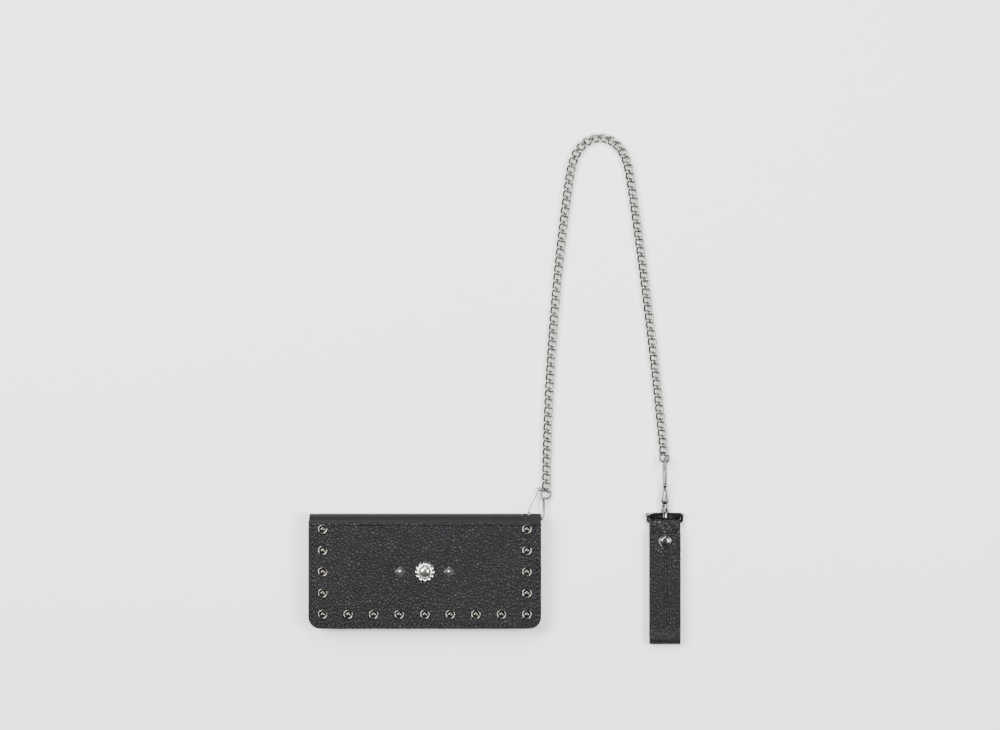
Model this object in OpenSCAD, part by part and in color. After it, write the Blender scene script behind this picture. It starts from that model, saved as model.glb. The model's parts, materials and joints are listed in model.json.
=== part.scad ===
// Long bifold leather wallet with a curb chain, a hook at each end and a snap belt strap.
// Origin: centre of the wallet's back face.
// +X runs along the fold, +Y towards the fold, +Z out of the front cover.

/* [Wallet] */
// Length of the wallet along its fold
wallet_w = 195; // [160:1:220]
// Height of the closed wallet, free edge to the crest of the fold
wallet_h = 96; // [84:1:120]
// Leather thickness of the covers and the fold
cover_t = 2.0; // [1.6:0.1:2.4]
// Thickness of the linings
lining_t = 0.6; // [0.4:0.1:0.8]
// Height of the stitched pocket stack on the back leaf
back_stack = 7.0; // [6.8:0.1:9]
// Height of the stitched pocket stack on the front leaf
front_stack = 5.0; // [4.8:0.1:7]
// Space between the two stacks when the wallet is closed
leaf_gap = 0.8; // [0.6:0.1:2]
// Radius of the free corners
corner_r = 10; // [6:0.5:14]
// How far the fold bulges past the straight covers
fold_bulge = 6; // [5:0.5:8]
// Length of the fold that is cut away at the right end for the hook
hook_cutout = 16; // [15:0.5:22]

/* [Studs and ornament] */
// Diameter of each stud
stud_d = 8.4; // [6:0.2:10]
// Distance of the stud rows from the cover's edges
stud_inset = 12; // [9:0.5:15]
// Studs in the bottom row, corners included
bottom_studs = 9; // [5:1:9]
// Studs in each side column, corners included
side_studs = 5; // [3:1:5]
// Radius of the rivet shanks of studs and ornament
shank_r = 1.0; // [0.8:0.1:1.2]
// Diameter of the round ornament
concho_d = 17; // [12:0.5:24]

/* [Inside] */
// Thickness of the pocket leather
pocket_t = 0.8; // [0.6:0.1:0.9]
// Width of the stitched edge around each pocket stack
edge_w = 3.5; // [2.5:0.5:5]
// Number of stepped card panels
card_panels = 4; // [4:1:4]
// Height that each card panel stands below the one behind it
card_step = 12; // [8:1:14]
// Length of the zip
zip_len = 160; // [120:1:165]

/* [Chain] */
// Distance from one link to the next
link_pitch = 7.05; // [6.6:0.05:8]
// Wire diameter of the links
link_wire = 2.1; // [1.7:0.1:2.2]
// Width across the centre lines of a link's sides
link_w = 6.2; // [5.8:0.1:7]
// Play between two links along the chain
link_play = 0.3; // [0.25:0.05:0.5]

/* [Hooks] */
// Wire diameter of the wallet hook
hook_wire = 2.2; // [1.8:0.1:2.4]
// Radius of the wallet hook's bend
hook_bend_r = 6.2; // [5.5:0.1:7]
// Wire diameter of the round ring on the strap hook
ring_wire = 1.7; // [1.5:0.1:1.9]
// Hole radius of the eyelet that the wallet hook hangs in
eyelet_r = 2.6; // [2.3:0.1:3]
// Wire diameter of the strap hook
strap_hook_wire = 2.5; // [2:0.1:2.8]
// Radius of the swivel's shank
swivel_r = 1.4; // [1.2:0.1:1.6]

/* [Strap] */
// Width of the belt strap
strap_w = 26; // [20:0.5:32]
// Leather thickness of the belt strap
strap_t = 2.0; // [1.6:0.1:2.4]
// Length of the strap from the bar to the crest of its bottom fold
strap_len = 103; // [80:1:130]
// Space for the belt between the strap's layers
belt_gap = 6.3; // [6:0.1:9]
// Diameter of the snap cap
snap_d = 11.5; // [10:0.5:14]

/* [Hidden] */

$fn = 48;
leather = [0.13, 0.13, 0.135];
lining_grey = [0.2, 0.2, 0.21];
nickel = [0.78, 0.78, 0.76];
dark_nickel = [0.6, 0.6, 0.6];

// clearances
slip = 0.1;        // a pin or shank that passes through leather or another part
apart = 0.3;       // two pieces that move against each other
eps = 0.01;

// --- wallet, layer by layer ---
half_w = wallet_w / 2;
free_y = -wallet_h / 2;
fold_y = wallet_h / 2 - fold_bulge;                 // where the flat covers end and the fold begins
z_back_lining = cover_t;
z_back_stack = z_back_lining + lining_t;
z_back_top = z_back_stack + back_stack;
z_front_low = z_back_top + leaf_gap;
z_front_lining = z_front_low + front_stack;
z_front_cover = z_front_lining + lining_t;
closed_t = z_front_cover + cover_t;
inner_half_w = half_w - 1;                           // linings stop short of the cover's edge
edge_in = inner_half_w - edge_w;
pocket_low = free_y + 1 + edge_w;
edge_top = fold_y - 20;                              // the stitched sides stop below the fold
cut_x = half_w - hook_cutout;                        // right end of the fold

// --- fold: an arc from cover to cover ---
fold_r = (pow(closed_t / 2, 2) + pow(fold_bulge, 2)) / (2 * fold_bulge);
fold_c = [fold_y + fold_bulge - fold_r, closed_t / 2];

// --- wallet hook: a flat wire shape, tipped down from the eyelet to the table ---
hook_x = half_w - 3.8;                               // centre of the bend
hook_bend_y = fold_y + 5.8;
hook_low_y = hook_bend_y - hook_bend_r;              // centre line at the bottom of the bend
hook_pivot = [hook_x, hook_low_y, z_back_stack + 4.5];
hook_tip_angle = 8.7;
eye_r = 4.3;
eye_wire = 1.7;
eye_twist = 22;
eye_c = [hook_x + hook_bend_r + 1.9, hook_bend_y + 16.85];
hook_gate_pin = [eye_c[0] - 5.62, eye_c[1] + 4.0];
hook_gate_wire = 1.0;
hook_gate_end = [hook_x - hook_bend_r + 0.1, hook_bend_y + 3.5];
eyelet_c = [hook_low_y - (eyelet_r - hook_wire / 2 - 0.95), hook_pivot[2]];
eyelet_flange = eyelet_r + 1.7;
tab_t = 2.4;

// --- chain: every link leans on from the one before it ---
links = 84;
per_segment = 7;
first_lean = 89.4;                                   // heading of the first link, from +X
near_turn = 0.2;                                     // turn per link along the wallet's leg
far_turn = 0.09;                                     // turn per link along the strap's leg
bend_peak = 20.2;                                    // further turn per link at the crest of the bend
bend_links = 16;                                     // links that the bend is spread over
bend_mid = 43.1;                                     // link at the crest of the bend
link_a = (link_pitch + link_wire + link_play) / 2;   // half length along the centre line
link_roll = 50;                                      // each end is rolled this much out of the flat
link_end_half = 2.8;                                 // from the axis to an end's corner
link_end_bend = 1.4;
link_side_bend = 5;
link_side_bow = 0.2;                                 // the side's corner lies outside its bend
// the bends leave 0.8 of the height of the ends' corners
chain_z = link_wire / 2 + 0.8 * link_end_half * sin(link_roll) + 0.05;
// the end of a link's centre line lies this far outside its joint
link_over = link_a - link_pitch / 2;
chain_start = [eye_c[0] + 0.3, hook_low_y + cos(hook_tip_angle) * (eye_c[1] + eye_r - hook_low_y)
    - (eye_wire + link_wire) / 2 - link_play + link_over];

function turn_after(k) = (k < bend_mid ? near_turn : far_turn)
    + (abs(k - bend_mid) < bend_links / 2 ? bend_peak / 2 * (1 + cos(360 * (k - bend_mid) / bend_links)) : 0);
headings = [for (k = 0, h = first_lean; k < links; h = h - turn_after(k), k = k + 1) h];
joints_xy = [for (k = 0, p = chain_start; k <= links;
    p = p + link_pitch * [cos(headings[min(k, links - 1)]), sin(headings[min(k, links - 1)])], k = k + 1) p];

// --- strap ring, strap hook and swivel ---
chain_end = joints_xy[links];
ring_r = 4.3;
ring_tip_angle = 18;
ring_twist = 25;
ring_far_y = chain_end[1] - link_over + (ring_wire + link_wire) / 2 + link_play;
ring_near_y = ring_far_y - 2 * ring_r * cos(ring_tip_angle);
ring_c = [chain_end[0] + 0.1, (ring_far_y + ring_near_y) / 2];
strap_x = chain_end[0] + 0.6;
sh_r = strap_hook_wire / 2;
sh_bend_r = 4.5;
sh_bend = [ring_near_y - 1.5, sh_r + sh_bend_r + 0.35];   // centre of its bend, in Y and Z
swivel_z = 4.6;
head_top = sh_bend[0] - 21.7;
head_low = head_top - 12.1;
post_low = head_low - 7.1;
bar_t = 2.7;
bar_w = 4.3;
bar_y = post_low - bar_w;                             // lower edge of the flat bar
sh_gate_pin = [head_top + 3.6, swivel_z + 2.6];
sh_gate_end = [sh_bend[0] - 7.2, sh_bend[1] + sh_bend_r - 0.3];

// --- strap ---
loop_wire = 2.4;
wrap_in = loop_wire / 2 + 0.15;
wrap_out = wrap_in + strap_t;
wrap_z = wrap_out + 0.1;
wrap_y = bar_y - wrap_out - 0.15;
strap_low_z = wrap_z - wrap_out;
tab_z = wrap_z + wrap_in;                             // underside of the inner tab
flap_z = strap_low_z + strap_t + belt_gap;            // underside of the flap
bend_out = (flap_z + strap_t - strap_low_z) / 2;
bend_y = wrap_y - strap_len + bend_out;
flap_top_y = wrap_y - 9.5;
snap_y = flap_top_y - 6.2;
tab_end_y = snap_y - 9;
loop_half = strap_w / 2 + 1.5;

// ---------- helpers ----------
// round bar between two points
module rod(a, b, r) {
    d = b - a;
    translate(a)
        rotate([0, acos(d[2] / norm(d)), atan2(d[1], d[0])])
            cylinder(h = norm(d), r = r);
}

// flat sheet whose two corners at the free edge are round
module leaf(half, low, high, t, r) {
    linear_extrude(t)
        union() {
            translate([-half, low + r])
                square([2 * half, high - low - r]);
            translate([-half + r, low])
                square([2 * half - 2 * r, 2 * r]);
            for (side = [-1, 1])
                translate([side * (half - r), low + r])
                    circle(r = r);
        }
}

// extrudes a Y-Z outline along X, centred on x
module along_x(x, length) {
    translate([x - length / 2, 0, 0])
        rotate([90, 0, 90])
            linear_extrude(length)
                children();
}

// turned shape around a Y axis through [x, y, z]
module turned_y(x, y, z) {
    translate([x, y, z])
        rotate([-90, 0, 0])
            rotate_extrude()
                children();
}

// part of a ring of wire, in the X-Y plane around c
module wire_arc(c, r, wire, from, sweep) {
    translate(c)
        rotate([0, 0, from])
            rotate_extrude(angle = sweep)
                translate([r, 0])
                    circle(r = wire / 2, $fn = 24);
}

// ---------- back leaf ----------
module cover_corner(z, t) {
    // the leather goes on to the wallet's edge where the fold is cut away
    translate([cut_x + 1, fold_y - 1, z])
        cube([hook_cutout - 1, fold_bulge + 0.4, t]);
}

module back_cover() {
    color(leather)
        union() {
            leaf(half_w, free_y, fold_y, cover_t, corner_r);
            cover_corner(0, cover_t);
        }
}

module back_lining() {
    color(lining_grey)
        translate([0, 0, z_back_lining])
            leaf(inner_half_w, free_y + 1, fold_y - 0.5, lining_t, corner_r - 1);
}

// U-shaped stitched edge that carries the pockets of one leaf
module pocket_edge(z, t) {
    translate([0, 0, z])
        difference() {
            leaf(inner_half_w, free_y + 1, edge_top, t, corner_r - 1);
            translate([0, 0, -1])
                leaf(edge_in, pocket_low, edge_top + 1, t + 2, corner_r - 1 - edge_w);
        }
}

module back_pocket_edge() {
    color(leather)
        pocket_edge(z_back_stack, back_stack);
}

// pocket sheet between the stitched edges
module pocket_sheet(z, high) {
    translate([0, 0, z])
        leaf(edge_in, pocket_low, high, pocket_t, corner_r - 1 - edge_w);
}

z_note = z_back_stack + 1.4;
z_coin_back = z_note + pocket_t + 0.6;
z_coin_front = z_coin_back + pocket_t + 1.2;
zip_y = edge_top - 12;
zip_tape_w = 5;
zip_mid_gap = 1.3;
zip_x0 = -zip_len / 2;

module note_divider() {
    color(lining_grey)
        pocket_sheet(z_note, edge_top - 1);
}

module coin_pocket_back() {
    color(lining_grey)
        pocket_sheet(z_coin_back, edge_top - 3);
}

module coin_pocket_front() {
    color(leather)
        difference() {
            pocket_sheet(z_coin_front, edge_top - 3);
            translate([zip_x0 - 4, zip_y - 3.5, z_coin_front - 1])
                cube([zip_len + 8, 7, pocket_t + 2]);
        }
}

// ---------- zip ----------
tape_z = z_coin_front + 0.1;
tape_t = 0.5;
tooth_step = 3;

module zip_tapes() {
    color(lining_grey)
        for (side = [-1, 1])
            translate([zip_x0 - 4, zip_y + (side > 0 ? zip_mid_gap / 2 + 1 : -3.5), tape_z])
                cube([zip_len + 8, 2.5 - zip_mid_gap / 2, tape_t]);
}

module zip_teeth() {
    color(nickel)
        for (side = [-1, 1])
            union() {
                translate([zip_x0, zip_y + side * (zip_mid_gap / 2 + 0.75) - 0.25, tape_z - 0.1])
                    cube([zip_len, 0.5, tape_t + 0.2]);
                for (k = [0 : floor(zip_len / tooth_step) - 1])
                    translate([zip_x0 + 0.6 + k * tooth_step + (side > 0 ? tooth_step / 2 : 0),
                        zip_y + (side > 0 ? zip_mid_gap / 2 : -zip_mid_gap / 2 - 0.8), tape_z - 0.25])
                        cube([1.2, 0.8, tape_t + 0.5]);
            }
}

module zip_stops() {
    color(nickel)
        for (x = [zip_x0 - 2.2, zip_x0 + zip_len + 0.6])
            translate([x, zip_y - 1.6, tape_z - 0.25])
                difference() {
                    cube([1.6, 3.2, tape_t + 0.5]);
                    translate([-1, -1, 0.2])
                        cube([4, 1.6 - zip_mid_gap / 2 + 0.02, tape_t + 0.1]);
                    translate([-1, 2.6 + zip_mid_gap / 2 - 0.02, 0.2])
                        cube([4, 3, tape_t + 0.1]);
                }
}

slider_x = zip_x0 + zip_len - 6;
slider_l = 8;
slider_w = 6;
slider_low = tape_z - 0.95;
slider_top = tape_z + tape_t + 1.15;

module zip_slider() {
    color(nickel)
        union() {
            // plates under and over the teeth
            for (z = [slider_low, slider_top - 0.6])
                translate([slider_x - slider_l / 2, zip_y - slider_w / 2, z])
                    cube([slider_l, slider_w, 0.6]);
            // wedge between the rows
            translate([slider_x - 1.6, zip_y - 0.35, slider_low])
                cube([3.2, 0.7, slider_top - slider_low]);
            // bridge that holds the pull
            for (x = [-2.6, 1.8])
                translate([slider_x + x, zip_y - 0.6, slider_top - eps])
                    cube([0.8, 1.2, 0.7]);
            translate([slider_x - 2.6, zip_y - 0.6, slider_top + 0.6])
                cube([5.2, 1.2, 0.5]);
        }
}

pull_z = slider_top + 0.06;

// flat pull: its crossbar lies under the slider's bridge
module zip_pull() {
    color(nickel)
        translate([slider_x, zip_y, pull_z])
            difference() {
                union() {
                    translate([-5, -2, 0])
                        cube([5.6, 4, 0.5]);
                    translate([-18, -1.4, 0])
                        cube([13.5, 2.8, 0.5]);
                    translate([-18, 0, 0])
                        cylinder(h = 0.5, r = 2.4);
                }
                translate([-3.6, -1.1, -1])
                    cube([2.8, 2.2, 3]);
                translate([-18, 0, -1])
                    cylinder(h = 3, r = 1.1);
            }
}

// ---------- hitch for the hook ----------
module hitch_tab() {
    color(leather)
        difference() {
            union() {
                translate([hook_x - tab_t / 2, edge_top + 1, z_back_stack])
                    cube([tab_t, eyelet_c[0] - edge_top - 1, 2 * (eyelet_c[1] - z_back_stack) + 0.6]);
                translate([hook_x - tab_t / 2, eyelet_c[0], z_back_stack])
                    cube([tab_t, 2, eyelet_c[1] - z_back_stack]);
                along_x(hook_x, tab_t)
                    translate(eyelet_c)
                        circle(r = eyelet_c[1] - z_back_stack + 0.6 - eps);
            }
            along_x(hook_x, tab_t + 2)
                translate(eyelet_c)
                    circle(r = eyelet_r + 0.6 + slip);
            // the rounded end stays above the lining
            translate([hook_x - tab_t, 0, z_back_stack - 3])
                cube([2 * tab_t, wallet_h, 3]);
        }
}

module hitch_eyelet() {
    color(nickel)
        translate([hook_x, eyelet_c[0], eyelet_c[1]])
            rotate([0, 90, 0])
                rotate_extrude()
                    union() {
                        translate([eyelet_r, -tab_t / 2 - 0.5])
                            square([0.6, tab_t + 1]);
                        for (z = [-tab_t / 2 - 0.5, tab_t / 2])
                            translate([eyelet_r, z])
                                square([eyelet_flange - eyelet_r, 0.5]);
                    }
}

// ---------- fold ----------
module fold_sheet(r_out, t) {
    fold_x0 = -half_w + 0.4;
    along_x((fold_x0 + cut_x) / 2, cut_x - fold_x0)
        intersection() {
            translate(fold_c)
                difference() {
                    circle(r = r_out, $fn = 96);
                    circle(r = r_out - t, $fn = 96);
                }
            translate([fold_y + apart, 0])
                square([fold_bulge + 1, closed_t]);
        }
}

module fold_cover() {
    color(leather)
        fold_sheet(fold_r, cover_t);
}

module fold_lining() {
    color(lining_grey)
        fold_sheet(fold_r - cover_t, lining_t);
}

// ---------- front leaf ----------
stud_x = half_w - stud_inset;
stud_low_y = free_y + stud_inset;
stud_high_y = fold_y - 6.7;
side_pitch = (stud_high_y - stud_low_y) / (side_studs - 1);
bottom_pitch = 2 * stud_x / (bottom_studs - 1);
stud_places = concat(
    [for (k = [0 : bottom_studs - 1]) [-stud_x + k * bottom_pitch, stud_low_y]],
    [for (side = [-1, 1], k = [1 : side_studs - 1]) [side * stud_x, stud_low_y + k * side_pitch]]
);
diamond_x = concho_d / 2 + 12;
ornament_places = [[0, 0], [-diamond_x, 0], [diamond_x, 0]];
rivet_places = concat(stud_places, ornament_places);

module shank_holes(z, t, places) {
    for (p = places)
        translate([p[0], p[1], z - 1])
            cylinder(h = t + 2, r = shank_r + slip / 2);
}

module front_cover() {
    color(leather)
        difference() {
            union() {
                translate([0, 0, z_front_cover])
                    leaf(half_w, free_y, fold_y, cover_t, corner_r);
                cover_corner(z_front_cover, cover_t);
            }
            shank_holes(z_front_cover, cover_t, rivet_places);
        }
}

module front_lining() {
    color(lining_grey)
        difference() {
            translate([0, 0, z_front_lining])
                leaf(inner_half_w, free_y + 1, fold_y - 0.5, lining_t, corner_r - 1);
            shank_holes(z_front_lining, lining_t, rivet_places);
        }
}

module front_pocket_edge() {
    color(leather)
        pocket_edge(z_front_low, front_stack);
}

washer_t = 0.5;
card_gap = (front_stack - washer_t - 0.1 - 0.3 - card_panels * pocket_t) / (card_panels - 1);

// panel 1 lies nearest the cover and stands highest
module card_panel(n) {
    pocket_sheet(
        z_front_lining - washer_t - 0.1 - n * pocket_t - (n - 1) * card_gap,
        edge_top - 2 - (n - 1) * card_step
    );
}

module card_panel_1() {
    color(lining_grey) card_panel(1);
}

module card_panel_2() {
    color(lining_grey) card_panel(2);
}

module card_panel_3() {
    color(lining_grey) card_panel(3);
}

module card_panel_4() {
    color(lining_grey) card_panel(4);
}

// flat base, raised rim ring, groove and a low dome
module stud() {
    rim_r = 0.6;
    dome_r = stud_d * 0.3;
    dome_h = 1.3;
    ball_r = (dome_r * dome_r + dome_h * dome_h) / (2 * dome_h);
    union() {
        cylinder(h = 0.5, r = stud_d / 2 - 0.1);
        translate([0, 0, 0.6])
            rotate_extrude()
                translate([stud_d / 2 - rim_r, 0])
                    circle(r = rim_r, $fn = 24);
        intersection() {
            translate([0, 0, 0.4 + dome_h - ball_r])
                sphere(r = ball_r);
            cylinder(h = 3, r = dome_r);
        }
        translate([0, 0, -cover_t - lining_t - washer_t])
            cylinder(h = cover_t + lining_t + washer_t + 0.2, r = shank_r);
    }
}

module studs() {
    color(nickel)
        for (p = stud_places)
            translate([p[0], p[1], closed_t])
                stud();
}

module washers(places) {
    for (p = places)
        translate([p[0], p[1], z_front_lining - washer_t])
            difference() {
                cylinder(h = washer_t, r = 2.6);
                translate([0, 0, -1])
                    cylinder(h = washer_t + 2, r = shank_r + slip / 2);
            }
}

module stud_washers() {
    color(dark_nickel)
        washers(stud_places);
}

module ornament_washers() {
    color(dark_nickel)
        washers(ornament_places);
}

petals = 12;

// round ornament: scalloped rim, ring and dome
module concho() {
    dome_r = concho_d * 0.28;
    dome_h = 1.8;
    ball_r = (dome_r * dome_r + dome_h * dome_h) / (2 * dome_h);
    color(nickel)
        translate([0, 0, closed_t])
            union() {
                cylinder(h = 0.9, r = concho_d / 2 - 1.2);
                for (k = [0 : petals - 1])
                    rotate([0, 0, k * 360 / petals])
                        translate([concho_d / 2 - 1.8, 0, 0])
                            cylinder(h = 1.2, r = 1.8, $fn = 24);
                intersection() {
                    translate([0, 0, 0.8 + dome_h - ball_r])
                        sphere(r = ball_r);
                    cylinder(h = 4, r = dome_r);
                }
                translate([0, 0, -cover_t - lining_t - washer_t])
                    cylinder(h = cover_t + lining_t + washer_t + 0.2, r = shank_r);
            }
}

// small pyramid studs on both sides of the round ornament
module diamond_studs() {
    color(nickel)
        for (side = [-1, 1])
            translate([side * diamond_x, 0, closed_t])
                union() {
                    cylinder(h = 0.5, r = 4.6, $fn = 4);
                    translate([0, 0, 0.5 - eps])
                        cylinder(h = 1.5, r1 = 4, r2 = 0.4, $fn = 4);
                    translate([0, 0, -cover_t - lining_t - washer_t])
                        cylinder(h = cover_t + lining_t + washer_t + 0.2, r = shank_r);
                }
}

// ---------- wallet hook ----------
// drawn flat, then tipped about its bend so that the eye lies down at the chain's height
module tipped() {
    translate(hook_pivot)
        rotate([-hook_tip_angle, 0, 0])
            translate([-hook_x, -hook_low_y, 0])
                children();
}

lug_t = 0.8;
knuckle = 0.12;    // a ball at a bend of the wire is this much thicker than the wire

module wallet_hook() {
    stem_low = [hook_x + hook_bend_r, hook_bend_y, 0];
    // the stem ends in a ball on the eye's lower left
    ball_off = eye_c[0] - hook_x - hook_bend_r;
    stem_top = [hook_x + hook_bend_r, eye_c[1] - sqrt(pow(eye_r + 0.3, 2) - pow(ball_off, 2)), 0];
    tip_low = [hook_x - hook_bend_r, hook_bend_y, 0];
    tip_top = tip_low + [0, 1.0, 0];
    color(nickel)
        tipped()
            difference() {
                union() {
                    wire_arc([hook_x, hook_bend_y, 0], hook_bend_r, hook_wire, 180, 180);
                    rod(stem_low, stem_top, hook_wire / 2);
                    translate(stem_top)
                        sphere(r = hook_wire / 2 + 0.55);
                    rod(tip_low, tip_top, hook_wire / 2);
                    translate(tip_top)
                        sphere(r = hook_wire / 2 + knuckle);
                    translate([eye_c[0], eye_c[1], 0])
                        rotate([0, eye_twist, 0])
                            rotate_extrude()
                                translate([eye_r, 0])
                                    circle(r = eye_wire / 2, $fn = 24);
                    // lug that carries the gate, and its arm up to the eye
                    translate([hook_gate_pin[0], hook_gate_pin[1], -lug_t - 0.05])
                        cylinder(h = lug_t, r = 1.6);
                    translate([hook_gate_pin[0], hook_gate_pin[1], -lug_t - 0.05])
                        rotate([0, 0, atan2(eye_c[1] - hook_gate_pin[1], eye_c[0] - hook_gate_pin[0])]) {
                            translate([0, -1.1, 0])
                                cube([2.9, 2.2, lug_t]);
                            translate([1.75, -1.1, 0])
                                cube([1.15, 2.2, lug_t + 1.1]);
                        }
                }
                translate([hook_gate_pin[0], hook_gate_pin[1], -3])
                    cylinder(h = 6, r = 0.75);
            }
}

module wallet_hook_rivet() {
    color(dark_nickel)
        tipped()
            translate([hook_gate_pin[0], hook_gate_pin[1], 0])
                union() {
                    translate([0, 0, -lug_t - 0.4])
                        cylinder(h = 2.6, r = 0.7);
                    translate([0, 0, -lug_t - 0.5])
                        cylinder(h = 0.4, r = 1.3);
                    translate([0, 0, 1.15])
                        cylinder(h = 0.4, r = 1.3);
                }
}

module wallet_hook_gate() {
    z = 0.06 + hook_gate_wire / 2;
    color(nickel)
        tipped()
            difference() {
                union() {
                    translate([hook_gate_pin[0], hook_gate_pin[1], 0.05])
                        cylinder(h = 1.0, r = 1.5);
                    rod([hook_gate_pin[0], hook_gate_pin[1], z] + 1.2 * gate_dir(),
                        [hook_gate_end[0], hook_gate_end[1], z], hook_gate_wire / 2);
                    translate([hook_gate_end[0], hook_gate_end[1], z])
                        sphere(r = hook_gate_wire / 2 + 0.25);
                }
                translate([hook_gate_pin[0], hook_gate_pin[1], -1])
                    cylinder(h = 4, r = 0.77);
            }
}

function gate_dir() = let (d = hook_gate_end - hook_gate_pin) [d[0], d[1], 0] / norm(d);

// ---------- chain ----------
// a curb link's wire runs through six corners: two at each end, one at the middle of each side.
// The two ends are rolled opposite ways, so that the links lie flat when hooked together.
link_end = [for (side = [-1, 1])
    [link_a, side * link_end_half * cos(link_roll), side * link_end_half * sin(link_roll)]];
link_corners = concat(
    link_end, [[0, link_w / 2 + link_side_bow, 0]],
    [for (p = link_end) [-p[0], -p[1], p[2]]], [[0, -link_w / 2 - link_side_bow, 0]]
);
link_bends = [link_end_bend, link_end_bend, link_side_bend, link_end_bend, link_end_bend, link_side_bend];

function unit(v) = v / norm(v);
function before(list, k) = list[(k + len(list) - 1) % len(list)];
function after(list, k) = list[(k + 1) % len(list)];
function way_in(p, k) = unit(p[k] - before(p, k));
function way_out(p, k) = unit(after(p, k) - p[k]);
function turn_at(p, k) = acos(way_in(p, k) * way_out(p, k));

// closed loop of wire through corners p, with bend radius r[k] at corner k
module bent_loop(p, r, wire) {
    cut = [for (k = [0 : len(p) - 1]) r[k] * tan(turn_at(p, k) / 2)];
    for (k = [0 : len(p) - 1]) {
        rod(p[k] + cut[k] * way_out(p, k), after(p, k) - after(cut, k) * way_out(p, k), wire / 2);
        // the bend: from the wire's way in, about the centre on its inner side
        normal = unit(cross(way_in(p, k), way_out(p, k)));
        inwards = cross(normal, way_in(p, k));
        centre = p[k] - cut[k] * way_in(p, k) + r[k] * inwards;
        x = -inwards;
        y = way_in(p, k);
        multmatrix([
            [x[0], y[0], normal[0], centre[0]],
            [x[1], y[1], normal[1], centre[1]],
            [x[2], y[2], normal[2], centre[2]],
            [0, 0, 0, 1],
        ])
            rotate_extrude(angle = turn_at(p, k))
                translate([r[k], 0])
                    circle(r = wire / 2, $fn = 24);
    }
}

module curb_link() {
    union()
        bent_loop(link_corners, link_bends, link_wire);
}

// links first to last - 1 of the chain
module chain_run(first, count) {
    color(nickel)
        for (k = [first : first + count - 1])
            translate(concat((joints_xy[k] + joints_xy[k + 1]) / 2, [chain_z]))
                rotate([0, 0, headings[k]])
                    curb_link();
}

// ---------- strap ring and strap hook ----------
module strap_ring() {
    color(nickel)
        translate([ring_c[0], ring_far_y, chain_z])
            rotate([-ring_tip_angle, 0, 0])
                translate([0, -ring_r, 0])
                    rotate([0, ring_twist, 0])
                        rotate_extrude()
                            translate([ring_r, 0])
                                circle(r = ring_wire / 2, $fn = 24);
}

// point in the strap hook's upright plane
function up(y, z) = [strap_x, y, z];

module strap_hook() {
    low_z = sh_bend[1] - sh_bend_r;
    high_z = sh_bend[1] + sh_bend_r;
    neck = up(head_top + 0.6, swivel_z);
    heel = up(head_top + 5.5, low_z);
    lug_w = sh_r - 0.2;
    color(nickel)
        difference() {
            union() {
                // swivel head and shank
                turned_y(strap_x, 0, swivel_z)
                    polygon([
                        [0, bar_y + 0.3], [swivel_r + 0.7, bar_y + 0.3],
                        [swivel_r + 0.7, bar_y + 1.1], [swivel_r, bar_y + 1.1],
                        [swivel_r, head_low], [2.0, head_low], [3.1, head_low + 1.6], [3.3, head_low + 2.4],
                        [3.3, head_low + 3.4], [2.7, head_low + 4.0], [2.7, head_low + 4.6],
                        [2.3, head_low + 7], [1.6, head_top], [0, head_top],
                    ]);
                translate(neck)
                    sphere(r = sh_r + knuckle);
                rod(neck, heel, sh_r);
                translate(heel)
                    sphere(r = sh_r + knuckle);
                rod(heel, up(sh_bend[0], low_z), sh_r);
                translate(up(sh_bend[0], sh_bend[1]))
                    rotate([0, 90, 0])
                        rotate_extrude(angle = 180)
                            translate([sh_bend_r, 0])
                                circle(r = sh_r, $fn = 24);
                rod(up(sh_bend[0], high_z), up(sh_bend[0] - 4, high_z), sh_r);
                translate(up(sh_bend[0] - 4, high_z))
                    sphere(r = sh_r + knuckle);
                // half-width lug for the gate
                translate([strap_x - sh_r + 0.15, sh_gate_pin[0], sh_gate_pin[1]])
                    rotate([0, 90, 0])
                        cylinder(h = lug_w, r = 1.5);
                translate([strap_x - sh_r + 0.15, sh_gate_pin[0] - 1.2, swivel_z - 0.6])
                    cube([lug_w, 2.4, sh_gate_pin[1] - swivel_z + 0.6]);
            }
            translate([strap_x - 5, sh_gate_pin[0], sh_gate_pin[1]])
                rotate([0, 90, 0])
                    cylinder(h = 10, r = 0.75);
        }
}

module strap_hook_rivet() {
    color(dark_nickel)
        translate([strap_x, sh_gate_pin[0], sh_gate_pin[1]])
            rotate([0, 90, 0])
                union() {
                    translate([0, 0, -sh_r - 0.4])
                        cylinder(h = 2 * sh_r + 0.8, r = 0.7);
                    for (z = [-sh_r - 0.5, sh_r + 0.1])
                        translate([0, 0, z])
                            cylinder(h = 0.4, r = 1.2);
                }
}

module strap_hook_gate() {
    gate_r = 0.75;
    // unit vector along the gate
    d = (sh_gate_end - sh_gate_pin) / norm(sh_gate_end - sh_gate_pin);
    start = sh_gate_pin + 1.1 * d;
    x = strap_x + 0.05 + gate_r;
    color(nickel)
        difference() {
            union() {
                translate([strap_x + 0.05, sh_gate_pin[0], sh_gate_pin[1]])
                    rotate([0, 90, 0])
                        cylinder(h = sh_r - 0.1, r = 1.4);
                rod([x - 0.1, start[0], start[1]], [x - 0.1, sh_gate_end[0], sh_gate_end[1]], gate_r - 0.1);
                translate([x - 0.1, sh_gate_end[0], sh_gate_end[1]])
                    sphere(r = gate_r + 0.1);
            }
            translate([strap_x - 5, sh_gate_pin[0], sh_gate_pin[1]])
                rotate([0, 90, 0])
                    cylinder(h = 10, r = 0.77);
        }
}

// ---------- strap loop ----------
bail_bend_r = 1.6;

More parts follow.
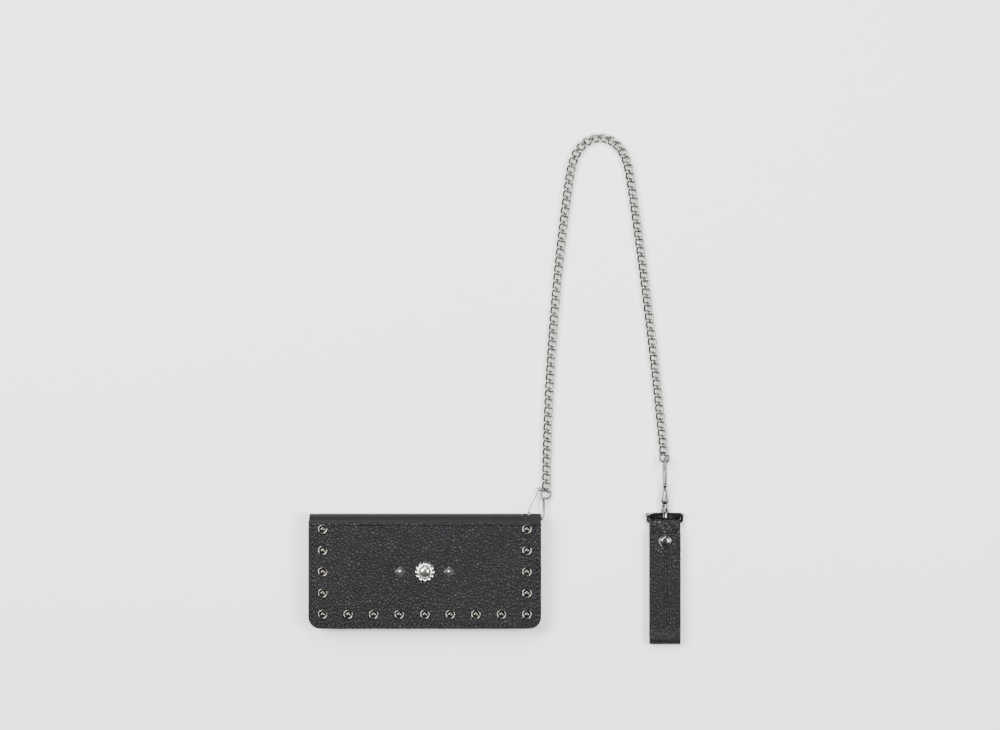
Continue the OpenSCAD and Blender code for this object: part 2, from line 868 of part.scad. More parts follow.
// bent wire that carries the strap: a bar with a leg at each end, tipped up to the flat bar
module bail() {
    rise = swivel_z - wrap_z;
    run = bar_y + bar_w / 2 - wrap_y;
    straight = loop_half - bail_bend_r;
    translate([strap_x, wrap_y, wrap_z])
        rotate([atan2(rise, run), 0, 0])
            union() {
                rod([-straight, 0, 0], [straight, 0, 0], loop_wire / 2);
                for (side = [-1, 1]) {
                    wire_arc([side * straight, bail_bend_r, 0], bail_bend_r, loop_wire,
                        side > 0 ? -90 : 180, 90);
                    rod([side * loop_half, bail_bend_r, 0], [side * loop_half, norm([rise, run]), 0],
                        loop_wire / 2);
                }
            }
}

module strap_loop() {
    side_y = bar_y + bar_w / 2;
    end_x = loop_half - 0.7;
    color(nickel)
        difference() {
            union() {
                // flat bar with round ends
                translate([strap_x - end_x, bar_y, swivel_z - bar_t / 2])
                    cube([2 * end_x, bar_w, bar_t]);
                for (side = [-1, 1])
                    translate([strap_x + side * end_x, side_y, swivel_z - bar_t / 2])
                        cylinder(h = bar_t, r = bar_w / 2);
                bail();
                // flared post and the boss behind it
                turned_y(strap_x, 0, swivel_z)
                    polygon([
                        [0, bar_y + 0.2], [swivel_r + 1.8, bar_y + 0.2], [swivel_r + 1.8, post_low - 0.6],
                        [swivel_r + 3.2, post_low], [swivel_r + 1.9, post_low + 1.4],
                        [swivel_r + 1.1, post_low + 4],
                        [swivel_r + 1.1, head_low - 0.4], [0, head_low - 0.4],
                    ]);
            }
            turned_y(strap_x, 0, swivel_z)
                polygon([
                    [0, bar_y - 1], [swivel_r + 0.9, bar_y - 1], [swivel_r + 0.9, bar_y + 1.4],
                    [swivel_r + 0.07, bar_y + 1.4], [swivel_r + 0.07, head_low + 1], [0, head_low + 1],
                ]);
        }
}

// ---------- belt strap ----------
module half_ring(c, r_out, r_in, side) {
    translate(c)
        difference() {
            circle(r = r_out);
            circle(r = r_in);
            translate([side > 0 ? -2 * r_out : 0, -2 * r_out])
                square([2 * r_out, 4 * r_out]);
        }
}

module strap_body() {
    color(leather)
        difference() {
            along_x(strap_x, strap_w)
                union() {
                    half_ring([wrap_y, wrap_z], wrap_out, wrap_in, 1);
                    translate([bend_y, strap_low_z])
                        square([wrap_y - bend_y, strap_t]);
                    translate([tab_end_y, tab_z])
                        square([wrap_y - tab_end_y, strap_t]);
                    half_ring([bend_y, strap_low_z + bend_out], bend_out, bend_out - strap_t, -1);
                }
            translate([strap_x, snap_y, tab_z - 1])
                cylinder(h = strap_t + 2, r = 1.5 + slip);
        }
}

module strap_flap() {
    color(leather)
        difference() {
            translate([strap_x - strap_w / 2, bend_y + apart, flap_z])
                cube([strap_w, flap_top_y - bend_y - apart, strap_t]);
            translate([strap_x, snap_y, flap_z - 1])
                cylinder(h = strap_t + 2, r = 1.5 + slip);
        }
}

stud_post_r = 1.7;
socket_t = flap_z - tab_z - strap_t - 0.25;

module snap_cap() {
    dome_h = 2.0;
    ball_r = (pow(snap_d / 2, 2) + pow(dome_h, 2)) / (2 * dome_h);
    color(nickel)
        translate([strap_x, snap_y, flap_z + strap_t])
            union() {
                intersection() {
                    translate([0, 0, dome_h - ball_r])
                        sphere(r = ball_r);
                    cylinder(h = 3, r = snap_d / 2 - 0.05);
                }
                translate([0, 0, -strap_t])
                    cylinder(h = strap_t + 0.5, r = 1.5);
            }
}

module snap_socket() {
    color(dark_nickel)
        translate([strap_x, snap_y, flap_z - socket_t])
            difference() {
                cylinder(h = socket_t, r = snap_d / 2 - 1);
                translate([0, 0, -1])
                    cylinder(h = socket_t + 0.8, r = stud_post_r + slip);
            }
}

module snap_stud() {
    color(dark_nickel)
        translate([strap_x, snap_y, tab_z])
            union() {
                translate([0, 0, -0.5])
                    cylinder(h = 0.5, r = 4);
                cylinder(h = strap_t + 0.1, r = 1.5);
                translate([0, 0, strap_t])
                    cylinder(h = 0.2, r = 3.8);
                translate([0, 0, strap_t])
                    cylinder(h = socket_t - 0.1, r = stud_post_r);
            }
}

back_cover();
back_lining();
back_pocket_edge();
note_divider();
coin_pocket_back();
coin_pocket_front();
zip_tapes();
zip_teeth();
zip_stops();
zip_slider();
zip_pull();
hitch_tab();
hitch_eyelet();
fold_cover();
fold_lining();
front_cover();
front_lining();
front_pocket_edge();
card_panel_1();
card_panel_2();
card_panel_3();
card_panel_4();
studs();
stud_washers();
concho();
diamond_studs();
ornament_washers();
wallet_hook();
wallet_hook_rivet();
wallet_hook_gate();
chain_run(0, per_segment);  // chain_01
chain_run(per_segment, per_segment);  // chain_02
chain_run(2 * per_segment, per_segment);  // chain_03
chain_run(3 * per_segment, per_segment);  // chain_04
chain_run(4 * per_segment, per_segment);  // chain_05
chain_run(5 * per_segment, per_segment);  // chain_06
chain_run(6 * per_segment, per_segment);  // chain_07
chain_run(7 * per_segment, per_segment);  // chain_08
chain_run(8 * per_segment, per_segment);  // chain_09
chain_run(9 * per_segment, per_segment);  // chain_10
chain_run(10 * per_segment, per_segment);  // chain_11
chain_run(11 * per_segment, per_segment);  // chain_12
strap_ring();
strap_hook();
strap_hook_rivet();
strap_hook_gate();
strap_loop();
strap_body();
strap_flap();
snap_cap();
snap_socket();
snap_stud();
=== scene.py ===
# %% [markdown]
# # A chain wallet, finished piece by piece
# The wallet is a long folded leaf of pebbled black leather with domed studs. A nickel curb chain
# runs from a wire hook at its corner to a snap strap that goes round a belt.
# The frame gives the size and place of every piece. This lesson makes the pieces that are seen
# the way a leather worker or a metal worker would, and gives each one its finish.

# %% Load the frame
import json
import math
import bmesh
import bpy
from mathutils import Matrix, Vector


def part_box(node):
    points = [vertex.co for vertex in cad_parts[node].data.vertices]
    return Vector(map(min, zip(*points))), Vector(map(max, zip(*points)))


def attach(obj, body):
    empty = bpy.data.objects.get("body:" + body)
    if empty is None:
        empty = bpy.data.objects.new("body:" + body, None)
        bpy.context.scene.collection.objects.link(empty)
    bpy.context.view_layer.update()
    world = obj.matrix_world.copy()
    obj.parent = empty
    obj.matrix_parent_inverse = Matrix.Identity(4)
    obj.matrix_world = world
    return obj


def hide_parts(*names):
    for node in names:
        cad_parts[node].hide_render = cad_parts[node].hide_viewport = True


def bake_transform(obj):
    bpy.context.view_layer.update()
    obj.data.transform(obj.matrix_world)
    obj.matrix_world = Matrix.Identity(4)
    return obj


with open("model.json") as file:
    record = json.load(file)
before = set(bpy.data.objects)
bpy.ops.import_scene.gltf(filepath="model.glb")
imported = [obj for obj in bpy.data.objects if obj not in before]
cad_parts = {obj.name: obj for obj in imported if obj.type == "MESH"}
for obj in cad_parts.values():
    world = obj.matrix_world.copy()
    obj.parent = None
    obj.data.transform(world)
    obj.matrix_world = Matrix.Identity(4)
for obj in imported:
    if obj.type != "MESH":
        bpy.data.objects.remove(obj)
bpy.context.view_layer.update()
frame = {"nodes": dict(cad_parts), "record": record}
MM = 0.001

# %% [markdown]
# ## Camera
# The set lies on a table and is looked at from straight above. A long lens keeps the sides of the
# wallet and the strap parallel, as they are on the real table.

# %% Camera
camera = bpy.data.objects.new("camera", bpy.data.cameras.new("camera"))
bpy.context.collection.objects.link(camera)
camera.data.lens = 85
camera.data.sensor_width = 36
camera.location = (0.063, 0.173, 0.84 * 85 / 36 + 0.012)
camera.data.clip_end = 20
bpy.context.scene.camera = camera
print("camera height", round(camera.location.z, 3))

# %% [markdown]
# ## Table and light
# A white table and big soft lamps show black leather by its sheen. Plated metal shows only what
# it mirrors, so the lamps leave darker gaps between them: bright and dark bands on the wire are
# what makes it look like metal. The world is a dim grey for the same reason.

# %% Table and light
def rgb(code):
    """sRGB hex colour to the linear numbers that shaders use"""
    parts = [int(code[k:k + 2], 16) / 255 for k in (1, 3, 5)]
    return tuple(c / 12.92 if c <= 0.04045 else ((c + 0.055) / 1.055) ** 2.4 for c in parts) + (1.0,)


def add(tree, kind, inputs=None, **settings):
    """adds one shader node with its settings, and its inputs as numbers or links"""
    made = tree.nodes.new("ShaderNode" + kind)
    for key, value in settings.items():
        setattr(made, key, value)
    for key, value in (inputs or {}).items():
        if isinstance(value, bpy.types.NodeSocket):
            tree.links.new(value, made.inputs[key])
        else:
            made.inputs[key].default_value = value
    return made


def material(name, colour, roughness, metallic=0.0, **constants):
    """a named material with its base values set on the shader itself"""
    made = bpy.data.materials.new(name)
    made.use_nodes = True
    shader = made.node_tree.nodes["Principled BSDF"]
    shader.inputs["Base Color"].default_value = rgb(colour)
    shader.inputs["Roughness"].default_value = roughness
    shader.inputs["Metallic"].default_value = metallic
    for key, value in constants.items():
        shader.inputs[key.replace("_", " ")].default_value = value
    return made, made.node_tree, shader


bpy.ops.mesh.primitive_plane_add(size=6, location=(0.06, 0.15, -0.0002))
table = bpy.context.object
table.name = "table_top"
paint = material("white_laminate_table", "#f4f4f4", 0.6)[0]
table.data.materials.append(paint)

world = bpy.data.worlds.new("studio")
bpy.context.scene.world = world
world.use_nodes = True
world.node_tree.nodes["Background"].inputs["Color"].default_value = rgb("#b9bdc4")
world.node_tree.nodes["Background"].inputs["Strength"].default_value = 0.32

for name, place, size, power in (
    ("lamp_left", (-0.9, 0.5, 1.5), 0.9, 66),
    ("lamp_right", (1.1, 0.1, 1.5), 0.7, 48),
    ("lamp_back", (0.1, 1.4, 1.3), 0.8, 32),
):
    lamp = bpy.data.objects.new(name, bpy.data.lights.new(name, "AREA"))
    bpy.context.collection.objects.link(lamp)
    lamp.data.size = size
    lamp.data.energy = power
    lamp.location = place
    lamp.rotation_euler = (Vector((0.06, 0.15, 0)) - lamp.location).to_track_quat("-Z", "Y").to_euler()

# %% [markdown]
# ## Black pebbled cowhide
# The covers and the strap are drum-tumbled, chrome-tanned cowhide. Tumbling crowds the grain into
# pebbles 2 to 3 mm across with fine creases between them. A thin acrylic finish leaves
# the tops a little shinier than the creases. The pebbles are cells whose distance to their edge
# gives the height, warped by a slow noise so that no row shows. Towards the fold the hide is
# stretched smooth, so the height fades out there.

# %% Black pebbled cowhide
WAVE_STEP = 0.31   # a wave texture of scale 1 repeats after about this many metres


def pebbled_cowhide(name, smooth_from=None, creased_from=None, smooth_below=None):
    made, tree, shader = material(name, "#141415", 0.45, IOR=1.5, Specular_IOR_Level=0.2)
    place = add(tree, "TexCoord").outputs["Object"]
    # noise of 9 mm moves the cells about by up to 0.8 mm
    drift = add(tree, "TexNoise", {"Vector": place, "Scale": 1 / (9 * MM), "Detail": 2.0})
    moved = add(tree, "VectorMath", {0: drift.outputs["Color"], 1: (0.5, 0.5, 0.5)}, operation="SUBTRACT")
    moved = add(tree, "VectorMath", {0: moved.outputs[0], "Scale": 1.6 * MM}, operation="SCALE")
    moved = add(tree, "VectorMath", {0: place, 1: moved.outputs[0]}, operation="ADD")
    # pebbles 2.6 mm across, and small ones of 1.1 mm on top of them
    pebbles = add(tree, "TexVoronoi", {"Vector": moved.outputs[0], "Scale": 1 / (2.6 * MM)},
                  feature="DISTANCE_TO_EDGE")
    rise = add(tree, "MapRange", {"Value": pebbles.outputs["Distance"], "From Max": 0.28},
               interpolation_type="SMOOTHSTEP")
    small = add(tree, "TexVoronoi", {"Vector": moved.outputs[0], "Scale": 1 / (1.1 * MM)})
    height = add(tree, "Math", {0: small.outputs["Distance"], 1: -0.12, 2: rise.outputs[0]},
                 operation="MULTIPLY_ADD")
    across = add(tree, "SeparateXYZ", {0: place})
    if smooth_from is not None:
        keep = add(tree, "MapRange", {"Value": across.outputs["Y"], "From Min": smooth_from - 1.5 * MM,
                                      "From Max": smooth_from + 1.5 * MM, "To Min": 1.0, "To Max": 0.12})
        height = add(tree, "Math", {0: height.outputs[0], 1: keep.outputs[0]}, operation="MULTIPLY")
    if smooth_below is not None:
        keep = add(tree, "MapRange", {"Value": across.outputs["Y"], "From Min": smooth_below - 2 * MM,
                                      "From Max": smooth_below + 2 * MM, "To Min": 0.15, "To Max": 1.0})
        height = add(tree, "Math", {0: height.outputs[0], 1: keep.outputs[0]}, operation="MULTIPLY")
    if creased_from is not None:
        # lengthwise creases about 10 mm apart where the strap is pulled round the bar
        waves = add(tree, "TexWave", {"Vector": moved.outputs[0], "Scale": WAVE_STEP / (9.61 * MM),
                                      "Distortion": 5.0, "Detail": 1.0}, bands_direction="X")
        where = add(tree, "MapRange", {"Value": across.outputs["Y"], "From Min": creased_from,
                                       "From Max": creased_from + 6 * MM, "To Max": 2.4})
        height = add(tree, "Math", {0: waves.outputs["Fac"], 1: where.outputs[0], 2: height.outputs[0]},
                     operation="MULTIPLY_ADD")
    bump = add(tree, "Bump", {"Height": height.outputs[0], "Strength": 0.9, "Distance": 0.5 * MM})
    tree.links.new(bump.outputs[0], shader.inputs["Normal"])
    # painted shade: the creases between the pebbles are painted darker and the tops lighter, and the tops
    # are also shinier; a broad noise varies the tone at random so large areas do not look sprayed
    broad = add(tree, "TexNoise", {"Vector": place, "Scale": 1 / (35 * MM), "Detail": 3.0})
    tone_and_crease_shade = add(tree, "Math", {0: broad.outputs["Fac"], 1: 0.5, 2: rise.outputs[0]}, operation="MULTIPLY_ADD")
    colour = add(tree, "ValToRGB", {"Fac": tone_and_crease_shade.outputs[0]})
    colour.color_ramp.elements[0].color = rgb("#050506")
    colour.color_ramp.elements[0].position = 0.35
    colour.color_ramp.elements[1].color = rgb("#202022")
    shade = colour.outputs["Color"]
    if smooth_from is not None:
        # painted shade: the base colour is darker across the fold band
        fold_shade_band = add(tree, "MapRange", {"Value": across.outputs["Y"], "From Min": smooth_from - 1.5 * MM,
                                      "From Max": smooth_from + 1.5 * MM})
        darker = add(tree, "Mix", {0: fold_shade_band.outputs[0], 6: shade, 7: rgb("#070708")}, data_type="RGBA")
        shade = darker.outputs[2]
    tree.links.new(shade, shader.inputs["Base Color"])
    gloss = add(tree, "MapRange", {"Value": height.outputs[0], "To Min": 0.6, "To Max": 0.34})
    tree.links.new(gloss.outputs[0], shader.inputs["Roughness"])
    return made


cover_hide = pebbled_cowhide("pebbled_cowhide_covers", smooth_from=40.5 * MM)
strap_hide = pebbled_cowhide("pebbled_cowhide_strap", creased_from=29 * MM, smooth_below=-51 * MM)
print("hides:", cover_hide.name, strap_hide.name)

# %% [markdown]
# ## Smooth calf, split leather, thread and tape
# The stitched edges and the hitch are smooth calf whose cut sides are inked. The lining and the
# pockets are split leather: its flesh side is matt and finely fibrous. The thread is waxed
# polyester, and the zip tape is a fine herringbone weave, which at this size shows as a matt grain.

# %% Smooth calf, split leather, thread and tape
def soft_surface(name, dark, light, grain_mm, roughness, depth_mm, layers_mm=None):
    """matt material with a fine two-tone grain; layers_mm is the thickness of stacked sheets"""
    made, tree, shader = material(name, dark, roughness)
    place = add(tree, "TexCoord").outputs["Object"]
    grain = add(tree, "TexNoise", {"Vector": place, "Scale": 1 / (grain_mm * MM), "Detail": 5.0,
                                   "Roughness": 0.65})
    colour = add(tree, "ValToRGB", {"Fac": grain.outputs["Fac"]})
    colour.color_ramp.elements[0].color = rgb(dark)
    colour.color_ramp.elements[0].position = 0.3
    colour.color_ramp.elements[1].color = rgb(light)
    colour.color_ramp.elements[1].position = 0.72
    tree.links.new(colour.outputs["Color"], shader.inputs["Base Color"])
    height = grain.outputs["Fac"]
    if layers_mm:
        bands = add(tree, "TexWave", {"Vector": place, "Scale": WAVE_STEP / (2 * layers_mm * MM)},
                    bands_direction="Z")
        stacked = add(tree, "Math", {0: bands.outputs["Fac"], 1: 3.0, 2: height}, operation="MULTIPLY_ADD")
        height = stacked.outputs[0]
    bump = add(tree, "Bump", {"Height": height, "Strength": 0.5, "Distance": depth_mm * MM})
    tree.links.new(bump.outputs[0], shader.inputs["Normal"])
    return made


smooth_calf = soft_surface("smooth_calf_inked_edges", "#161617", "#242426", 1.2, 0.42, 0.1, layers_mm=1.1)
tab_calf = soft_surface("smooth_calf", "#161617", "#242426", 1.2, 0.42, 0.1)
split_leather = soft_surface("split_leather_lining", "#2b2a2b", "#454345", 0.8, 0.82, 0.12)
waxed_thread = soft_surface("waxed_polyester_thread", "#0e0e0f", "#232325", 0.3, 0.5, 0.05)
woven_tape = soft_surface("woven_polyester_tape", "#101011", "#262628", 0.35, 0.9, 0.1)
print("soft materials ready")

# %% [markdown]
# ## Plated metals
# The chain is steel with bright nickel plate, tumbled smooth: nearly a mirror, faintly warm, with
# fine scratches that vary the roughness. The hooks are drawn wire with a duller plate, and the
# plate on the studs has aged darker. The round ornament is cast and polished, the snap cap is black
# nickel, a mid grey, and the rivets and washers are plain tumbled steel.

# %% Plated metals
def plated(name, colour, low, high, wear_mm):
    """metal whose roughness wanders between low and high"""
    made, tree, shader = material(name, colour, low, 1.0)
    place = add(tree, "TexCoord").outputs["Object"]
    wear = add(tree, "TexNoise", {"Vector": place, "Scale": 1 / (wear_mm * MM), "Detail": 6.0,
                                  "Roughness": 0.7})
    rough = add(tree, "MapRange", {"Value": wear.outputs["Fac"], "From Min": 0.3, "From Max": 0.75,
                                   "To Min": low, "To Max": high})
    tree.links.new(rough.outputs[0], shader.inputs["Roughness"])
    bump = add(tree, "Bump", {"Height": wear.outputs["Fac"], "Strength": 0.12, "Distance": 0.05 * MM})
    tree.links.new(bump.outputs[0], shader.inputs["Normal"])
    return made


bright_nickel = plated("bright_nickel_plate", "#96938d", 0.08, 0.22, 4)
hook_nickel = plated("nickel_plate_on_drawn_wire", "#6b6865", 0.12, 0.3, 4)
stud_nickel = plated("aged_nickel_plate", "#565450", 0.16, 0.34, 2)
polished_cast = plated("polished_silver_plate", "#c4c2bc", 0.14, 0.32, 3)
black_nickel = plated("black_nickel_plate", "#6d6c6b", 0.15, 0.3, 3)
tumbled_steel = plated("tumbled_steel", "#9c9b98", 0.3, 0.5, 2)
zip_nickel = plated("nickel_plated_brass", "#bdbab2", 0.22, 0.42, 2)
print("metals ready")

# %% [markdown]
# ## Small tools
# Every piece is shaped by the same few moves: select faces or edges by where they are, extrude,
# spin or bevel them, then finish with modifiers. These helpers only save typing.

# %% Small tools
def nothing():
    """leaves edit mode and deselects everything"""
    if bpy.context.mode != "OBJECT":
        bpy.ops.object.mode_set(mode="OBJECT")
    for other in list(bpy.context.selected_objects):
        other.select_set(False)


def only(obj):
    """selects this object and nothing else"""
    nothing()
    obj.select_set(True)
    bpy.context.view_layer.objects.active = obj
    return obj


def pick(obj, kind, test):
    """goes into edit mode and selects the vertices, edges or faces that pass the test"""
    only(obj)
    bpy.ops.object.mode_set(mode="EDIT")
    bpy.ops.mesh.select_mode(type=kind)
    bpy.ops.mesh.select_all(action="DESELECT")
    shape = bmesh.from_edit_mesh(obj.data)
    group = {"VERT": shape.verts, "EDGE": shape.edges, "FACE": shape.faces}[kind]
    found = [item for item in group if test(item)]
    for item in found:
        item.select_set(True)
    shape.select_flush_mode()
    bmesh.update_edit_mesh(obj.data)
    return len(found)


def pick_all(obj, kind="FACE"):
    """goes into edit mode and selects everything"""
    only(obj)
    bpy.ops.object.mode_set(mode="EDIT")
    bpy.ops.mesh.select_mode(type=kind)
    bpy.ops.mesh.select_all(action="SELECT")


def middle(item):
    """middle of an edge or face, in mm"""
    return sum((v.co for v in item.verts), Vector()) / len(item.verts) / MM


def done(obj):
    bpy.ops.object.mode_set(mode="OBJECT")
    return obj


def settle(obj):
    """puts the object's place into its mesh"""
    only(obj)
    bpy.ops.object.transform_apply(location=True, rotation=True, scale=True)
    return obj


def modify(obj, kind, **settings):
    """adds a modifier and applies it"""
    made = obj.modifiers.new(kind.lower(), kind)
    for key, value in settings.items():
        setattr(made, key, value)
    only(obj)
    bpy.ops.object.modifier_apply(modifier=made.name)
    return obj


def outwards(obj):
    """merges doubles and turns all faces outwards"""
    pick_all(obj)
    bpy.ops.mesh.remove_doubles(threshold=0.002 * MM)
    bpy.ops.mesh.normals_make_consistent(inside=False)
    return done(obj)


def flip(obj):
    """turns the faces of an open sheet to its other side"""
    pick_all(obj)
    bpy.ops.mesh.flip_normals()
    return done(obj)


def extrude(x, y, z):
    """extrudes what is selected, in mm"""
    bpy.ops.mesh.extrude_region_move(TRANSFORM_OT_translate={"value": (x * MM, y * MM, z * MM)})


def soften(obj, width, segments):
    """bevels the sharp edges of a piece, in mm"""
    return modify(obj, "BEVEL", width=width * MM, segments=segments, limit_method="ANGLE",
                  angle_limit=math.radians(50))


def node_box(node):
    """lowest and highest corner of a node, in mm"""
    low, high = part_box(node)
    return Vector(low) / MM, Vector(high) / MM


def new_plane(name, x0, x1, y0, y1, z):
    nothing()
    bpy.ops.mesh.primitive_plane_add(size=1, location=((x0 + x1) / 2 * MM, (y0 + y1) / 2 * MM, z * MM))
    obj = bpy.context.object
    obj.name = name
    obj.scale = ((x1 - x0) * MM, (y1 - y0) * MM, 1)
    return settle(obj)


def finish_piece(obj, name, finish, body, replaced=(), angle=35):
    """names a piece, smooths it, gives it its finish and fixes it to its body"""
    obj.name = name
    obj.data.name = name
    only(obj)
    bpy.ops.object.shade_smooth_by_angle(angle=math.radians(angle))
    obj.data.materials.clear()
    obj.data.materials.append(finish)
    if body:
        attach(obj, body)
    if replaced:
        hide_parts(*replaced)
    print(name, len(obj.data.polygons), "faces")
    return obj


def copies(master, places):
    """one object made of copies of the master, each with its own mesh"""
    made = []
    for place in places:
        copy = master.copy()
        copy.data = master.data.copy()
        bpy.context.collection.objects.link(copy)
        copy.matrix_world = place
        made.append(copy)
    only(made[0])
    for copy in made:
        copy.select_set(True)
    bpy.ops.object.join()
    bpy.data.objects.remove(master)
    return settle(bpy.context.view_layer.objects.active)


def at(x, y, z, turn=0.0):
    """place of a copy, in mm and degrees about Z"""
    return Matrix.Translation((x * MM, y * MM, z * MM)) @ Matrix.Rotation(math.radians(turn), 4, "Z")


print("tools ready")

# %% [markdown]
# ## The covers and the fold
# On the real wallet one piece of hide goes round the back, over the fold and down the front. The
# hide bends at two hinges, so it is made here as two sheets that meet at the crest of the fold.
# Each starts as a plane: its free corners are rounded, its edge is spun round
# the fold's centre, and the small corner by the hook is pulled out. Solidify gives
# the 2 mm of leather.

# %% The covers and the fold
HALF_W, FREE_Y, FOLD_Y, CLOSED_T = 97.5, -48.0, 42.0, 18.0
GROOVE = 3.2   # from the edge to the sewn line
FOLD_C, FOLD_R = (38.25, 9.0), 9.75   # centre and outer radius of the fold, in Y and Z
CORNER_R, LEATHER = 10, 2.0
FOLD_X0, FOLD_X1, CORNER_X = -97.1, 81.5, 81.75   # ends of the fold, and start of the small corner
FOLD_TURN = math.degrees(math.atan2(CLOSED_T / 2, FOLD_Y - FOLD_C[0]))


def round_corners(obj, y, radius, segments=8):
    """rounds the corners of a flat outline that lie at this y"""
    pick(obj, "VERT", lambda v: abs(v.co.y / MM - y) < 0.01)
    bpy.ops.mesh.bevel(offset=radius * MM, offset_type="OFFSET", segments=segments, profile=0.5,
                       affect="VERTICES")
    return done(obj)


def cut_at(obj, place, normal):
    """cuts all faces along a plane"""
    pick_all(obj)
    bpy.ops.mesh.bisect(plane_co=[c * MM for c in place], plane_no=normal)
    return done(obj)


def spin_edges(obj, test, steps, degrees, centre, axis):
    """spins the selected edges; positive degrees turn right-handed about the axis"""
    pick(obj, "EDGE", test)
    bpy.ops.mesh.spin(steps=steps, angle=math.radians(SPIN_SIGN * degrees), center=[c * MM for c in centre],
                      axis=axis)
    return done(obj)


def from_edge(x, y):
    """distance of a point of a cover from the cover's outline"""
    if abs(x) > HALF_W - CORNER_R and y < FREE_Y + CORNER_R:
        return CORNER_R - math.hypot(abs(x) - HALF_W + CORNER_R, y - FREE_Y - CORNER_R)
    return min(HALF_W - abs(x), y - FREE_Y, FOLD_Y - y)


def spin_sign():
    """tries the spin operator once, because its direction is not always the same"""
    probe = new_plane("probe", 1, 2, -0.5, 0.5, 0)
    pick(probe, "EDGE", lambda e: middle(e).x > 1.9)
    bpy.ops.mesh.spin(steps=1, angle=math.radians(30), center=(0, 0, 0), axis=(0, 1, 0))
    done(probe)
    high = max(v.co.z for v in probe.data.vertices)
    bpy.data.objects.remove(probe)
    # a right-handed turn about +Y takes +X down
    return -1 if high > 0.1 * MM else 1


SPIN_SIGN = spin_sign()
print("spin sign", SPIN_SIGN)


def cover(name, z_out, up):
    """one cover with its half of the fold; up is +1 for the front and -1 for the back"""
    obj = new_plane(name, -HALF_W, HALF_W, FREE_Y, FOLD_Y, z_out)
    round_corners(obj, FREE_Y, CORNER_R)
    # three narrow borders: the middle line of the last two becomes the sewn groove
    pick_all(obj)
    for border in (GROOVE - 0.7, 0.7, 0.7):
        bpy.ops.mesh.inset(thickness=border * MM)
    done(obj)
    for x in (FOLD_X0, FOLD_X1, CORNER_X):
        cut_at(obj, (x, 0, 0), (1, 0, 0))
    for y in (30, 36, 39, 40.5, 41.3):
        cut_at(obj, (0, y, 0), (0, 1, 0))
    spin_edges(obj, lambda e: abs(middle(e).y - FOLD_Y) < 0.01 and -97 < middle(e).x < 81.4, 14,
               -up * FOLD_TURN, (0, FOLD_C[0], FOLD_C[1]), (1, 0, 0))
    pick(obj, "EDGE", lambda e: abs(middle(e).y - FOLD_Y) < 0.01 and middle(e).x > 81.8)
    extrude(0, 5.4, 0)
    done(obj)
    outwards(obj)
    flat = [f for f in obj.data.polygons if f.center.y < 0]
    if flat[0].normal.z * up < 0:
        flip(obj)
    modify(obj, "SOLIDIFY", thickness=LEATHER * MM, offset=-1, use_even_offset=True)
    soften(obj, 0.5, 3)
    # the thread pulls the groove 0.7 mm into the hide
    sunk = pick(obj, "VERT", lambda v: abs(v.co.z / MM - z_out) < 0.01
                and abs(from_edge(v.co.x / MM, v.co.y / MM) - GROOVE) < 0.05)
    bpy.ops.transform.translate(value=(0, 0, -up * 0.7 * MM))
    done(obj)
    print(name, "groove vertices", sunk)
    return obj


back = cover("back_hide", 0.0, -1)
finish_piece(back, "back_hide", cover_hide, None)
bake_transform(back)
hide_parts("back_cover")
front = cover("front_hide", CLOSED_T, 1)
finish_piece(front, "front_hide", cover_hide, None)
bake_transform(front)
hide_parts("front_cover", "fold_cover")

# %% [markdown]
# ## Linings, pockets and card panels
# All of these are thin sheets of split leather with two rounded corners at the free edge. A plane
# with rounded corners, extruded by the leather's thickness and with a fine bevel, is just how a
# sheet of leather looks after it is cut with a clicker knife.

# %% Linings, pockets and card panels
def sheet(name, half, low, high, z, thick, corner, edge=0.15):
    obj = new_plane(name, -half, half, low, high, z)
    round_corners(obj, low, corner)
    pick_all(obj)
    extrude(0, 0, thick)
    done(obj)
    outwards(obj)
    return soften(obj, edge, 2)


def node_sheet(node, corner, body):
    """a sheet in the place of a node"""
    low, high = node_box(node)
    obj = sheet(node + "_leather", high.x, low.y, high.y, low.z, high.z - low.z, corner)
    return finish_piece(obj, node + "_leather", split_leather, body, (node,))


for node_name, corner, body in (
    ("back_lining", 9, "back_leaf"), ("front_lining", 9, "front_leaf"),
    ("note_divider", 5.5, "back_leaf"), ("coin_pocket_back", 5.5, "back_leaf"),
    ("card_panel_1", 5.5, "front_leaf"), ("card_panel_2", 5.5, "front_leaf"),
    ("card_panel_3", 5.5, "front_leaf"), ("card_panel_4", 5.5, "front_leaf"),
):
    node_sheet(node_name, corner, body)

# %% [markdown]
# The front of the coin pocket has a long window for the zip. Its sheet is cut along the window's
# four sides, and the piece in the middle is deleted before the thickness is made.

# %% Front of the coin pocket
low, high = node_box("coin_pocket_front")
coin = new_plane("coin_front", low.x, high.x, low.y, high.y, low.z)
round_corners(coin, low.y, 5.5)
for x in (-84, 84):
    cut_at(coin, (x, 0, 0), (1, 0, 0))
for y in (6.5, 13.5):
    cut_at(coin, (0, y, 0), (0, 1, 0))
pick(coin, "FACE", lambda f: abs(middle(f).x) < 83 and 6.6 < middle(f).y < 13.4)
bpy.ops.mesh.delete(type="FACE")
done(coin)
modify(coin, "SOLIDIFY", thickness=(high.z - low.z) * MM, offset=1)
outwards(coin)
soften(coin, 0.15, 2)
finish_piece(coin, "coin_pocket_front_leather", split_leather, "back_leaf",
             ("coin_pocket_front",))

# %% [markdown]
# ## Stitched edges
# Round three sides of each leaf the pocket sheets are stitched together in one thick edge, like the
# pages of a book. A strip starts at the left, is spun round the corner, extruded along the bottom,
# spun again and extruded up. Fine lines on its sides are the sheets that it is made of.

# %% Stitched edges
EDGE_CORNER, EDGE_WIDE = 9, 3.5


